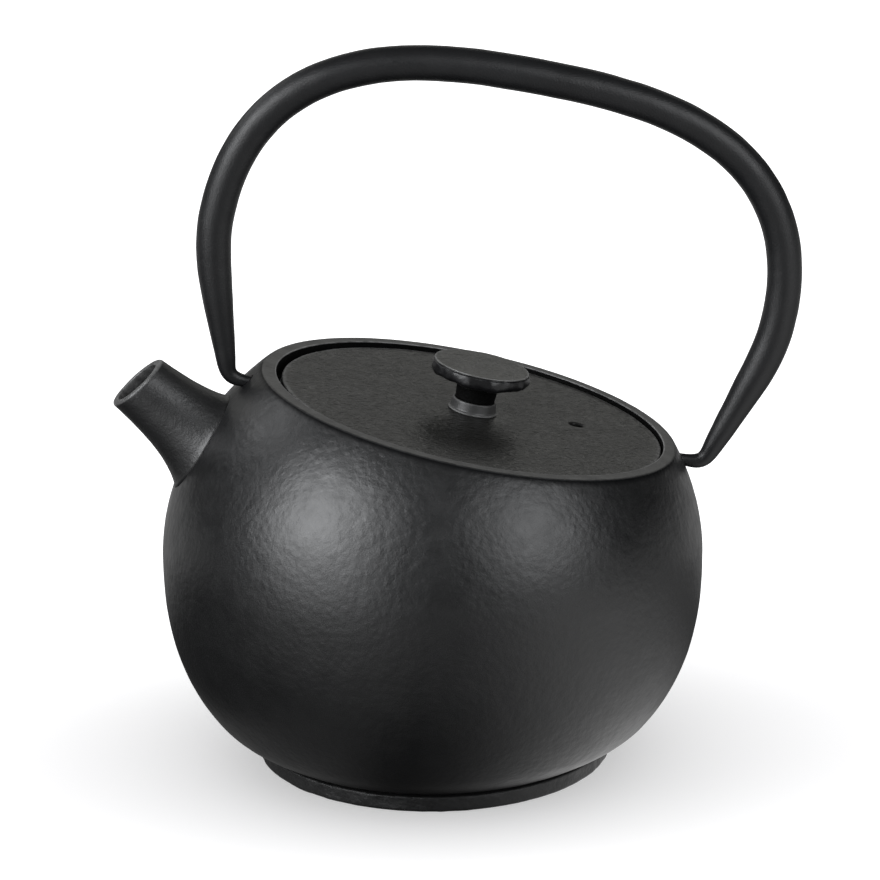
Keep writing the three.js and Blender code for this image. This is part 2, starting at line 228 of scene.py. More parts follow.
def cut(obj, cutters):
    """Cuts holes into obj with closed meshes, then removes the cutters."""
    for cutter in cutters:
        modifier = obj.modifiers.new("cut", "BOOLEAN")
        modifier.operation = "DIFFERENCE"
        modifier.solver = "EXACT"
        modifier.object = cutter
    graph = bpy.context.evaluated_depsgraph_get()
    result = bpy.data.meshes.new_from_object(obj.evaluated_get(graph))
    join_corners(result)
    obj.modifiers.clear()
    obj.data = result
    for cutter in cutters:
        bpy.data.objects.remove(cutter)
    result.polygons.foreach_set("use_smooth", [True] * len(result.polygons))
    result.set_sharp_from_angle(angle=SHARP_EDGE)


def paint_light_marks(obj, share):
    """Stores painted light at each point: painted highlight from 0 to 1, painted shade from 0 to -1.
    share is a function of the pot-frame points."""
    mesh = obj.data
    places = np.zeros(len(mesh.vertices) * 3)
    mesh.vertices.foreach_get("co", places)
    points = (places.reshape(-1, 3) - np.array([AXIS_X, 0.0, 0.0])) / MM
    painted_light = mesh.attributes.new("painted_light", "FLOAT", "POINT")
    painted_light.data.foreach_set("value", np.asarray(share(points), np.float32))


def rim_cylinder(points, slip=0.0):
    """Distance from the rim's axis, or from one that lies slip downhill, and height above the rim plane."""
    flat = (points - RIM_CENTRE) @ np.stack([RIM_U, RIM_V], 1)
    return np.hypot(flat[:, 0] - slip, flat[:, 1]), plane_distance(points)


def lid_cylinder(points):
    """Distance from the lid's own axis, and height above the rim plane."""
    return rim_cylinder(points, LID_SLIP[0])


# ---- Pot ----
COLUMNS = 420
FINE = 1.1  # row spacing, mm


def half_profile(height, power, inset, angle):
    """Radius and signed height from the belt of one superellipse half, at an angle from the belt."""
    across = np.maximum(np.cos(angle), 0.0) ** (2 / power)
    along = np.maximum(np.sin(angle), 0.0) ** (2 / power)
    return (POT_R - inset) * across, (height - inset) * along


def belly_angle(z, inset):
    """The angle from the belt at which the belly is at height z."""
    return math.asin(((BELT_Z - z) / (BELLY_H - inset)) ** (BELLY_N / 2))


def belly_outline(start_z, inset, steps):
    """Belly from start_z up to the belt, the belt itself left out."""
    first = belly_angle(start_z, inset)
    outline = []
    for angle in np.linspace(first, 0, steps + 1)[:-1]:
        radius, drop = half_profile(BELLY_H, BELLY_N, inset, angle)
        outline.append((float(radius), float(BELT_Z - drop)))
    return outline


AZIMUTH = np.linspace(0, 2 * math.pi, COLUMNS, endpoint=False)


def shoulder_row(angle, inset):
    """A row of shoulder points; angle is one number per column."""
    radius, rise = half_profile(SHOULDER_H, SHOULDER_N, inset, angle)
    return np.stack([radius * np.cos(AZIMUTH), radius * np.sin(AZIMUTH), BELT_Z + rise], 1)


def shoulder_end(depth, inset):
    """For each column, the angle at which the shoulder is depth below the rim plane."""
    low, high = np.zeros(COLUMNS), np.full(COLUMNS, math.pi / 2)
    for _ in range(BISECTIONS):
        middle = (low + high) / 2
        below = plane_distance(shoulder_row(middle, inset)) < -depth
        low, high = np.where(below, middle, low), np.where(below, high, middle)
    return low


def foot_outline():
    """Underside, foot ring and the groove where the foot meets the belly."""
    inner = FOOT_R - FOOT_RING
    outline = [(0.0, FOOT_RECESS)] + line((6.0, FOOT_RECESS), (inner - 1.4, FOOT_RECESS), 5.0)
    outline += arc(inner - 1.0, FOOT_RECESS - 0.4, 0.4, 90, 20, 3) + arc(inner + 0.3, 0.3, 0.3, 180, 270, 3)
    outline += arc(FOOT_R - 0.9, 0.9, 0.9, 270, 360, 6)
    outline += line((FOOT_R, 1.3), (FOOT_R - 0.05, FOOT_H - 1.1), 0.4)
    outline += arc(FOOT_R - 0.6, FOOT_H - 1.1, 0.55, 10, 85, 5)
    outline += [(FOOT_R - 1.3, FOOT_H - 0.5), (FOOT_R - 1.9, FOOT_H - 0.3), (FOOT_R - 2.0, FOOT_H + 0.1)]
    outline += [(FOOT_R - 1.3, FOOT_H + 0.22), (FOOT_R - 0.5, FOOT_H + 0.22)]
    return outline


def sweep_outline():
    """The flatter run of the belly into the foot."""
    top_r, drop = half_profile(BELLY_H, BELLY_N, 0.0, belly_angle(SWEEP_Z, 0.0))
    top = np.array([float(top_r), BELT_Z - float(drop)])
    foot = np.array([FOOT_R + 0.15, FOOT_H + 0.4])
    middle = np.array([top[0] - SWEEP_PULL, (top[1] + FOOT_H) / 2])
    steps = max(4, round(15 / FINE))
    return [tuple(p) for p in bezier(foot, middle, top, steps)]


def rim_rows():
    """Rows from the top of the shoulder over the rim, down the lid's seat and under the ledge.
    Each column of points keeps the bearing at which the shoulder reaches the rim."""
    edge = shoulder_row(shoulder_end(0.0, 0.0), 0.0)
    flat = (edge - RIM_CENTRE) @ np.stack([RIM_U, RIM_V], 1)
    turn = np.arctan2(flat[:, 1], flat[:, 0])
    reach = np.hypot(flat[:, 0], flat[:, 1])

    def at(radius, height):
        return rim_frame(np.stack([radius * np.cos(turn), radius * np.sin(turn), height + 0 * turn], 1))

    round_over = 0.5
    wall_end = shoulder_row(shoulder_end(round_over, 0.0), 0.0)
    rows = bezier(wall_end, edge, at(reach - round_over, 0.0), 5)
    bevel = 0.22
    for share in (0.0, 0.35, 0.7, 0.93):
        rows.append(at((reach - round_over) * (1 - share) + (SEAT_R + bevel) * share, 0.0))
    for radius, height in arc(SEAT_R + bevel, -bevel, bevel, 90, 180, 4):
        rows.append(at(radius + 0 * turn, height))
    foot = 0.5
    for height in (-0.32, -0.55, -1.6, -3.0, -SEAT_DEPTH + foot):
        rows.append(at(SEAT_R + 0 * turn, height))
    for radius, height in arc(SEAT_R - foot, -SEAT_DEPTH + foot, foot, -20, -90, 3):
        rows.append(at(radius + 0 * turn, height))
    ledge = [(52.0, -SEAT_DEPTH), (50.2, -SEAT_DEPTH)]
    ledge += arc(THROAT_R + 0.5, -SEAT_DEPTH - 0.5, 0.5, 90, 180, 3)
    for radius, height in ledge:
        rows.append(at(radius + 0 * turn, height))
    under = -SEAT_DEPTH - LEDGE
    rows += [at(THROAT_R + 0 * turn, under + 0.6), at(THROAT_R + 0.5 + 0 * turn, under)]
    inside = shoulder_row(shoulder_end(-under, WALL), WALL)
    rows += [rows[-1] * (1 - share) + inside * share for share in (0.4, 0.8)]
    return rows


def pot_rows():
    """All rows of the pot: foot, belly, shoulder and rim, then down the inside to the floor."""
    rows = [circle(r, z, COLUMNS) for r, z in foot_outline() + sweep_outline()]
    rows += [circle(r, z, COLUMNS) for r, z in belly_outline(SWEEP_Z, 0.0, max(10, round(52 / FINE)))]
    top = shoulder_end(0.5, 0.0)
    steps = max(10, round(56 / FINE))
    rows += [shoulder_row(top * i / steps, 0.0) for i in range(steps)]
    rows += rim_rows()
    inner_top = shoulder_end(SEAT_DEPTH + LEDGE, WALL)
    inner_steps = 24
    rows += [shoulder_row(inner_top * (1 - i / inner_steps), WALL) for i in range(inner_steps)]
    rows += [circle(r, z, COLUMNS) for r, z in reversed(belly_outline(FLOOR_Z + 1.5, WALL, inner_steps))]
    floor = [(46.0, FLOOR_Z + 0.3), (42.0, FLOOR_Z), (20.0, FLOOR_Z), (0.0, FLOOR_Z)]
    rows += [circle(r, z, COLUMNS) for r, z in floor]
    return rows


def casting_depth(points):
    """How far the cast skin wanders, mm: a little on the bowl, more on the ground foot, hardly on the rim."""
    above = plane_distance(points)
    depth = np.full(len(points), 0.045)
    depth = np.where(points[:, 2] < FOOT_H + 0.7, 0.2, depth)
    depth = np.where(above > -0.8, 0.03, depth)
    return np.where(points[:, 2] < 0.05, 0.0, depth)


def pot_light_marks(points):
    """Painted highlight on the rim's inner edge, and slightly on its top. Just below the outer edge a thin
    band of painted shade, -1.
    """
    radius, above = rim_cylinder(points)
    inner = (above > -0.28) & (radius > SEAT_R - 0.1) & (radius < SEAT_R + 0.35)
    outside = (above < -0.3) & (radius > SEAT_R + 0.6)
    painted_shade = -np.clip((above + 1.5) / 0.8, 0.0, 1.0)
    return np.where(inner, 1.0, np.where(outside, painted_shade, np.where(above > -0.3, 0.1, 0.0)))


def paint_pot(pot, body, foot, seat):
    """The foot is left as cast, coarser than the bowl, and the lid's seat gets the darkest iron as painted
    shade.
    """
    pot.data.materials.clear()
    for material in (body, foot, seat):
        pot.data.materials.append(material)
    count = len(pot.data.polygons)
    centres = np.zeros(count * 3)
    pot.data.polygons.foreach_get("center", centres)
    points = (centres.reshape(-1, 3) - np.array([AXIS_X, 0.0, 0.0])) / MM
    radius, above = rim_cylinder(points)
    # Faces of the lid's seat, which get the darkest iron as painted shade.
    in_seat = (above < -0.25) & (above > -SEAT_DEPTH - LEDGE) & (radius < SEAT_R + 0.05)
    kind = np.where(points[:, 2] < FOOT_H + 0.3, 1, np.where(in_seat, 2, 0))
    pot.data.polygons.foreach_set("material_index", kind.astype(np.int32))


def rod_cutter(name, radius, start, end, place):
    """A closed rod along x of a frame, for cutting."""
    sides = 40
    angle = np.linspace(0, 2 * math.pi, sides, endpoint=False)
    section = np.stack([np.zeros(sides), radius * np.cos(angle), radius * np.sin(angle)], 1)
    first, last = np.array([[start, 0.0, 0.0]]), np.array([[end, 0.0, 0.0]])
    rows = [first, section + first, section + last, last]
    return skin(name, [place(row) for row in rows])


def pin_frame(points):
    """The rim frame lowered to the handle's pin axis."""
    return rim_frame(np.asarray(points, float) + np.array([0.0, 0.0, -PIN_DEPTH]))


def build_pot():
    pot = skin("pot_shell", pot_rows())
    roughen(pot, casting_depth, 5.0, 1, 2)
    pins = [
        rod_cutter("pin_hole_low", PIN_HOLE_R, PIN_HOLE_END, PIN_HOLE_REACH, pin_frame),
        rod_cutter("pin_hole_high", PIN_HOLE_R, -PIN_HOLE_REACH, -PIN_HOLE_END, pin_frame),
    ]
    deep, shallow = -36, -12  # along the spout's axis, from its mouth
    outline = [(0, deep), (BORE_ROOT, deep), (BORE_ROOT, shallow), (0, shallow)]
    pour = turned("pour_hole", outline, 64, spout_frame)
    cut(pot, pins + [pour])
    paint_light_marks(pot, pot_light_marks)
    return pot


# ---- Spout ----
def spout_radius(height):
    """Outer radius at a height along the axis, which is 0 at the mouth and falls towards the root."""
    return SPOUT_R + SPOUT_FLARE * (np.exp(-height / SPOUT_FLARE_LENGTH) - 1)


def outside_pot(points):
    """Roughly how far points are outside the pot's bowl, mm."""
    drop = points[..., 2] - BELT_Z
    height = np.where(drop > 0, SHOULDER_H, BELLY_H)
    power = np.where(drop > 0, SHOULDER_N, BELLY_N)
    across = np.hypot(points[..., 0], points[..., 1]) / POT_R
    level = (across ** power + (np.abs(drop) / height) ** power) ** (1 / power)
    return (level - 1) * POT_R


def build_spout():
    """The spout, from a seam that follows the bowl to the slanted mouth and down the bore."""
    columns = 220
    turn = np.linspace(0, 2 * math.pi, columns, endpoint=False)
    unit = np.stack([np.cos(turn), np.sin(turn)], 1)

    def ring(radius, height):
        both = np.stack([radius * unit[:, 0], radius * unit[:, 1], height + 0 * turn], 1)
        return spout_frame(both)

    low, high = np.full(columns, -30.0), np.full(columns, -5.0)
    for _ in range(BISECTIONS):
        middle = (low + high) / 2
        inside = outside_pot(ring(spout_radius(middle), middle)) < SPOUT_SEAM
        low, high = np.where(inside, middle, low), np.where(inside, high, middle)
    root = low

    def mouth_height(radius):
        """Height of the slanted mouth plane at each column."""
        return -radius * unit[:, 0] * math.tan(SPOUT_TURN)

    top = mouth_height(SPOUT_R)
    steps = 34
    lip = SPOUT_LIP
    rows = [ring(spout_radius(root) - 2.5, root - 1.6), ring(spout_radius(root) - 0.5, root - 0.5)]
    for share in np.linspace(0, 1, steps + 1):
        height = root * (1 - share) + (top - lip) * share
        flare = 0.45 * np.exp(-(height - root) / 0.7)  # a fine raised seam at the root
        rows.append(ring(spout_radius(height) + flare, height))
    outer = spout_radius(top)
    inner = BORE_MOUTH
    for angle in np.radians([25, 50, 75, 90]):
        radius = outer - lip + lip * math.cos(angle)
        rows.append(ring(radius, mouth_height(radius) - lip + lip * math.sin(angle)))
    bevel = 0.5
    for angle in np.radians([90, 120, 150, 180]):
        radius = inner + bevel + bevel * math.cos(angle) + 0 * turn
        rows.append(ring(radius, mouth_height(radius) - bevel + bevel * math.sin(angle)))
    for height in (-4.0, -10.0, -BORE_TAPER, -26.0):
        share = min(-height / BORE_TAPER, 1.0)
        rows.append(ring(inner + (BORE_ROOT - 0.15 - inner) * share + 0 * turn, height))
    spout = skin("spout_cast", rows, loop=True)
    roughen(spout, 0.06, 5.0, 2)

    # Painted highlight on the mouth's edge.
    def edge_highlight(points):
        local = (points - SPOUT_MOUTH) @ np.stack([SPOUT_SIDE, RIM_V, SPOUT_AXIS], 1)
        below = local[:, 2] + local[:, 0] * math.tan(SPOUT_TURN)
        return np.where(below > -0.6, 0.6, 0.0)

    paint_light_marks(spout, edge_highlight)
    return spout


def paint_bore(spout, painted_shade):
    """Below its bevelled edge the bore gets the darkest iron as painted shade."""
    spout.data.materials.append(painted_shade)
    for face in spout.data.polygons:
        local = np.array(face.center) / MM - np.array([AXIS_X / MM, 0.0, 0.0]) - SPOUT_MOUTH
        out = math.hypot(local @ SPOUT_SIDE, local @ RIM_V)
        below = local @ SPOUT_AXIS + (local @ SPOUT_SIDE) * math.tan(SPOUT_TURN)
        if below < -0.3 and out < BORE_ROOT and out < spout_radius(local @ SPOUT_AXIS) - 1.2:
            face.material_index = 1


# ---- Lid, knob and collar, in the rim frame ----
def build_lid():
    columns = 320
    top, bottom = LID_TOP, LID_TOP - LID_THICKNESS
    edge = 0.55
    step = 1.6
    outline = [(SCREW_CLEAR, bottom)] + line((5.0, bottom), (SPIGOT_INNER - 0.6, bottom), 6.0)
    outline += arc(SPIGOT_INNER - 0.4, bottom - 0.4, 0.4, 90, 0, 3)
    outline += arc(SPIGOT_INNER + 0.5, bottom - SPIGOT_H + 0.5, 0.5, 180, 270, 3)
    outline += arc(SPIGOT_OUTER - 0.5, bottom - SPIGOT_H + 0.5, 0.5, 270, 360, 3)
    outline += arc(SPIGOT_OUTER + 0.4, bottom - 0.4, 0.4, 180, 90, 3)
    outline += arc(LID_R - edge, bottom + edge, edge, 270, 360, 4)
    outline += arc(LID_R - edge, top - edge, edge, 0, 90, 5)
    outline += line((LID_R - 1.4, top), (SCREW_CLEAR + 0.6, top), step)
    outline += [(SCREW_CLEAR, top - 0.3)]
    lid = turned("lid_disc", outline, columns, lid_frame, loop=True)

    def depth(points):
        return np.where(plane_distance(points) > LID_TOP - 0.2, 0.06, 0.03)

    roughen(lid, depth, 7.0, 3)
    x, y = VENT_OUT * math.cos(VENT_ANGLE), VENT_OUT * math.sin(VENT_ANGLE)
    ease = 0.35
    outline = [(0, bottom - 1), (VENT_R, bottom - 1), (VENT_R, top - ease)]
    outline += [(VENT_R + ease, top), (VENT_R + ease, top + 1), (0, top + 1)]
    vent = turned("vent", outline, 48, lambda p: lid_frame(p + np.array([x, y, 0.0])))
    cut(lid, [vent])

    # Painted highlight on the lid's top edge.
    def edge_highlight(points):
        radius, above = lid_cylinder(points)
        return np.where((radius > LID_R - 0.7) & (above > LID_TOP - 0.7), 0.3, 0.0)

    paint_light_marks(lid, edge_highlight)
    return lid


def on_lid(points):
    """The frame of the knob: the middle of the lid's top."""
    return lid_frame(np.asarray(points, float) + np.array([0.0, 0.0, LID_TOP]))


def build_knob():
    columns = 240
    lip_low, lip_r = KNOB_H - 3.5, 1.6
    outline = [(SCREW_CLEAR, COLLAR_H - 0.2), (KNOB_STEM - 0.5, COLLAR_H - 0.2)]
    outline += line((KNOB_STEM - 0.25, COLLAR_H), (KNOB_STEM + 0.05, 7.3), 0.5)
    outline += arc(KNOB_STEM + 0.75, 7.35, 0.7, 180, 110, 4)
    outline += line((KNOB_STEM + 0.9, 8.15), (KNOB_R - 2.6, lip_low - 0.35), 0.6)
    outline += arc(KNOB_R - lip_r, lip_low + lip_r - 0.45, lip_r, -75, 0, 9)
    outline += line((KNOB_R, lip_low + lip_r), (KNOB_R - 0.12, KNOB_H - 0.95), 0.4)
    outline += arc(KNOB_R - 0.52, KNOB_H - 0.95, 0.4, 0, 70, 3) + [(KNOB_R - 0.55, KNOB_H - 0.45)]
    outline += arc(KNOB_R - 0.5, KNOB_H - 0.22, 0.22, -20, 90, 4)
    outline += line((KNOB_R - 0.9, KNOB_H - 0.02), (1.5, KNOB_H - 0.12), 0.9)
    outline += [(0.0, KNOB_H - 0.12)]
    knob = turned("knob", [(0.0, 10.3), (SCREW_CLEAR, 10.3)] + outline, columns, on_lid)

    def depth(points):
        side, above = lid_cylinder(points)
        height = above - LID_TOP
        on_lip = (height > lip_low - 0.5) & (height < KNOB_H - 0.5) & (side > KNOB_R - 2.2)
        return np.where(on_lip, 0.4, 0.06)

    roughen(knob, depth, 3.8, 4, 2)

    # Painted highlight on the knob's top edge.
    def edge_highlight(points):
        side, above = lid_cylinder(points)
        height = above - LID_TOP
        return np.where((height > KNOB_H - 0.3) & (side > KNOB_R - 0.6), 0.35, 0.0)

    paint_light_marks(knob, edge_highlight)
    return knob


def paint_knob(knob, top, lip, stem):
    """The flat top gets a lighter skin as painted light, the lip a skin of its own, and the stem the darkest
    iron as painted shade.
    """
    knob.data.materials.clear()
    for material in (top, lip, stem):
        knob.data.materials.append(material)
    for face in knob.data.polygons:
        centre = np.array(face.center) / MM - np.array([AXIS_X / MM, 0.0, 0.0])
        side, above = lid_cylinder(centre[None, :])
        if above[0] - LID_TOP > KNOB_H - 0.3:
            face.material_index = 0
        else:
            face.material_index = 1 if side[0] > KNOB_STEM + 1.5 else 2


def build_collar():
    foot, top = COLLAR_FOOT, COLLAR_TOP
    outline = [(SCREW_CLEAR, 0.0), (foot - 0.3, 0.0)] + arc(foot - 0.3, 0.3, 0.3, -90, 60, 5)
    outline += bezier_outline((foot - 0.25, 0.62), (foot - 0.5, 0.75), (foot - 0.5, 1.1), 4)
    outline += line((foot - 0.52, 1.1), (top + 0.05, COLLAR_H - 0.35), 0.4)
    outline += arc(top - 0.25, COLLAR_H - 0.25, 0.3, 0, 90, 4)
    outline += [(KNOB_STEM - 0.2, COLLAR_H + 0.02), (KNOB_STEM - 0.6, COLLAR_H - 0.4)]
    outline += [(SCREW_CLEAR, COLLAR_H - 0.4)]
    collar = turned("collar", outline, 200, on_lid, loop=True)
    roughen(collar, 0.025, 4.0, 5)

    # Painted highlight on the collar's foot and on its top edge.
    def edge_highlight(points):
        side, above = lid_cylinder(points)
        height = above - LID_TOP
        upper = (height > COLLAR_H - 0.25) & (side > COLLAR_TOP - 0.4)
        return np.where(height < 0.65, 0.6, np.where(upper, 0.3, 0.0))

    paint_light_marks(collar, edge_highlight)
    return collar


def bezier_outline(start, middle, end, steps):
    return [tuple(p) for p in bezier(np.array(start), np.array(middle), np.array(end), steps)]


# ---- Bail handle ----
def bail_half():
    """Centres and radii of one half, from the pin's end to the top: rows of x, z, radius."""
    turn = math.pi / 2 - LEG_LEAN
    tangent = HOOK_R * math.tan(turn / 2)
    start = LEG_FOOT_X - tangent
    hole = start - 3.2
    points = [(x, 0.0, PIN_R) for x in np.linspace(PIN_INNER, hole, 6)]
    points += [(hole + 1.6, 0.0, (PIN_R + PIN_BEND_R) / 2)]
    for share in np.linspace(0, 1, 12):
        angle = turn * share
        radius = PIN_BEND_R + (BAR_FOOT_R - PIN_BEND_R) * share
        points.append((start + HOOK_R * math.sin(angle), HOOK_R * (1 - math.cos(angle)), radius))
    leg_foot = tangent * math.cos(LEG_LEAN)
    for height in np.linspace(leg_foot, LEG_TOP, 30)[1:]:
        thickness = BAR_FOOT_R + (BAR_R - BAR_FOOT_R) * min(height / BAR_FULL, 1.0)
        points.append((LEG_FOOT_X + height * math.tan(LEG_LEAN), height, thickness))
    first = math.asin((ARCH_START / ARCH_H) ** (ARCH_N / 2))
    for angle in np.linspace(first, math.pi / 2, 60):
        x = ARCH_HALF * max(math.cos(angle), 0.0) ** (2 / ARCH_N)
        points.append((x, ARCH_Z + ARCH_H * math.sin(angle) ** (2 / ARCH_N), BAR_R))
    return np.array(points)


def even_path(points, spacing):
    """The same path with points at an even spacing."""
    lengths = np.concatenate([[0.0], np.cumsum(np.linalg.norm(np.diff(points[:, :2], axis=0), axis=1))])
    places = np.linspace(0, lengths[-1], round(lengths[-1] / spacing) + 1)
    return np.stack([np.interp(places, lengths, column) for column in points.T], 1)


def ease_bends(path, spacing, reach, start, fade):
    """Averages the path over reach, more and more from height start to start + fade."""
    half = round(reach / spacing)
    weights = np.hanning(2 * half + 3)[1:-1]
    padded = np.pad(path, ((half, half), (0, 0)), mode="edge")
    eased = np.stack([np.convolve(column, weights / weights.sum(), "valid") for column in padded.T], 1)
    share = np.clip((path[:, 1:2] - start) / fade, 0, 1)
    return path + (eased - path) * share


def build_bail():
    """The handle: a round bar along one path, from pin to pin over the top."""
    half = bail_half()
    other = half[-2::-1] * np.array([-1, 1, 1])
    spacing = 0.8
    path = even_path(np.vstack([half, other]), spacing)
    for reach in (13.0, 6.0):
        path = ease_bends(path, spacing, reach, 5.0, 8.0)
    path = ease_bends(path, spacing, 3.2, -1.0, 1.0)
    ahead = np.vstack([path[1:], path[-1:]])
    behind = np.vstack([path[:1], path[:-1]])
    tangent = (ahead - behind)[:, :2]
    tangent /= np.linalg.norm(tangent, axis=1)[:, None]
    sides = 56
    angle = np.linspace(0, 2 * math.pi, sides, endpoint=False)
    rows = [pin_frame([[path[0][0], 0.0, path[0][1]]])]
    for (x, z, radius), (tx, tz) in zip(path, tangent):
        out = radius * np.cos(angle)
        rows.append(pin_frame(np.stack([x - out * tz, radius * np.sin(angle), z + out * tx], 1)))
    rows.append(pin_frame([[path[-1][0], 0.0, path[-1][1]]]))
    bail = skin("bail", [row[::-1] for row in rows])
    roughen(bail, 0.09, 9.0, 6)
    return bail


# ---- Infuser ----
def build_infuser_ring():
    lip, collar, inner = INFUSER_LIP, INFUSER_COLLAR, INFUSER_R
    web = INFUSER_FLOOR - SHEET
    outline = [(inner + 0.1, web)] + arc(collar - 0.6, web + 0.6, 0.6, -90, 0, 4)
    outline += [(collar, INFUSER_TOP - SHEET - 0.5), (collar + 0.4, INFUSER_TOP - SHEET)]
    outline += arc(lip - 0.3, INFUSER_TOP - 0.3, 0.3, -90, 90, 6)
    outline += [(collar - 0.1, INFUSER_TOP), (collar - SHEET, INFUSER_TOP - 0.4)]
    outline += [(collar - SHEET, INFUSER_FLOOR + 0.4), (collar - SHEET - 0.4, INFUSER_FLOOR)]
    outline += [(inner + 0.1, INFUSER_FLOOR)]
    return turned("infuser_ring", outline, 240, rim_frame, loop=True)


def perforated(name, cells_across, cells_up, hole, place, closed):
    """A sheet of square cells, each with a round hole, put in place by place(u, v) with u, v in cells."""
    corners = 12
    angle = np.linspace(0, 2 * math.pi, corners, endpoint=False) + math.pi / 4
    round_hole = np.stack([np.cos(angle), np.sin(angle)], 1) * hole
    square = np.stack([np.cos(angle), np.sin(angle)], 1)
    square = square / np.abs(square).max(1)[:, None] * 0.5
    index, vertices, faces = {}, [], []

    def vertex(u, v):
        if closed:
            u = u % cells_across
        key = (round(u * 1000) % (cells_across * 1000) if closed else round(u * 1000), round(v * 1000))
        if key not in index:
            index[key] = len(vertices)
            vertices.append(place(u, v))
        return index[key]

    for row in range(cells_up):
        for column in range(cells_across):
            centre = np.array([column + 0.5, row + 0.5])
            inner = [vertex(*(centre + p)) for p in round_hole]
            outer = [vertex(*(centre + p)) for p in square]
            for k in range(corners):
                n = (k + 1) % corners
                faces.append((inner[k], outer[k], outer[n], inner[n]))
    obj = make_object(name, vertices, faces)
    solid = obj.modifiers.new("sheet", "SOLIDIFY")
    solid.thickness = 0.5 * MM
    solid.offset = -1.0
    return obj


def build_infuser_wall():
    across, up = ((84, 14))
    bottom = INFUSER_FLOOR - INFUSER_DEPTH

    def place(u, v):
        angle = 2 * math.pi * u / across
        height = bottom + (INFUSER_DEPTH + 0.3) * v / up
        return rim_frame(np.array([INFUSER_R * math.cos(angle), INFUSER_R * math.sin(angle), height]))

    return perforated("infuser_mesh", across, up, 0.29, place, True)


def build_infuser_base():
    cells = 26
    bottom = INFUSER_FLOOR - INFUSER_DEPTH

    def place(u, v):
        x, y = 2 * u / cells - 1, 2 * v / cells - 1
        radius = INFUSER_R - 0.6
        return rim_frame(np.array([
            radius * x * math.sqrt(1 - y * y / 2), radius * y * math.sqrt(1 - x * x / 2), bottom + 0.7]))

    return perforated("infuser_bottom", cells, cells, 0.26, place, False)


# ---- Materials ----
SHADE_SPECULAR = 0.08  # specular level where the skin carries painted shade, -1
GLOSS_SPREAD = 0.04  # how far the roughness wanders either way


def nodes_of(name):
    material = bpy.data.materials.new(name)
    material.use_nodes = True
    return material, material.node_tree.nodes, material.node_tree.links


def add(nodes, kind, **values):
    """A node with its named properties or inputs set."""
    node = nodes.new(kind)
    for key, value in values.items():
        if hasattr(node, key):
            setattr(node, key, value)
        else:
            node.inputs[key.replace("_", " ")].default_value = value
    return node


def scaled(nodes, links, value, factor, plus):
    """value * factor + plus, where plus is a number or another value."""
    node = add(nodes, "ShaderNodeMath", operation="MULTIPLY_ADD")
    links.new(value, node.inputs[0])
    node.inputs[1].default_value = factor
    if isinstance(plus, float):
        node.inputs[2].default_value = plus
    else:
        links.new(plus, node.inputs[2])
    return node.outputs[0]


def noise_node(nodes, links, vector, scale, detail=2.0, roughness=0.5, stretch=None):
    """A noise value at scale cells per metre, stretched along an axis where stretch is below 1."""
    if stretch is not None:
        mapping = add(nodes, "ShaderNodeMapping")
        mapping.inputs["Scale"].default_value = stretch
        links.new(vector, mapping.inputs["Vector"])
        vector = mapping.outputs["Vector"]
    node = add(nodes, "ShaderNodeTexNoise", Scale=scale, Detail=detail, Roughness=roughness)
    links.new(vector, node.inputs["Vector"])
    return node.outputs["Fac"]


def pebbles(nodes, links, vector, scale):
    """Rounded bumps side by side, like orange peel."""
    node = add(nodes, "ShaderNodeTexVoronoi", feature="SMOOTH_F1", Scale=scale, Smoothness=0.7)
    links.new(vector, node.inputs["Vector"])
    return scaled(nodes, links, node.outputs["Distance"], -1.0, 1.0)


def spread(nodes, links, value, low, high):
    """Maps the middle of a noise value onto low..high."""
    node = add(nodes, "ShaderNodeMapRange")
    node.inputs["From Min"].default_value = 0.3
    node.inputs["From Max"].default_value = 0.7
    node.inputs["To Min"].default_value = low
    node.inputs["To Max"].default_value = high
    links.new(value, node.inputs["Value"])
    return node.outputs["Result"]


def bump(nodes, links, height, distance, before=None):
    """A normal bent by height; distance is its depth in mm."""
    node = add(nodes, "ShaderNodeBump", Strength=1.0, Distance=distance * MM)
    links.new(height, node.inputs["Height"])
    if before is not None:
        links.new(before, node.inputs["Normal"])
    return node.outputs["Normal"]


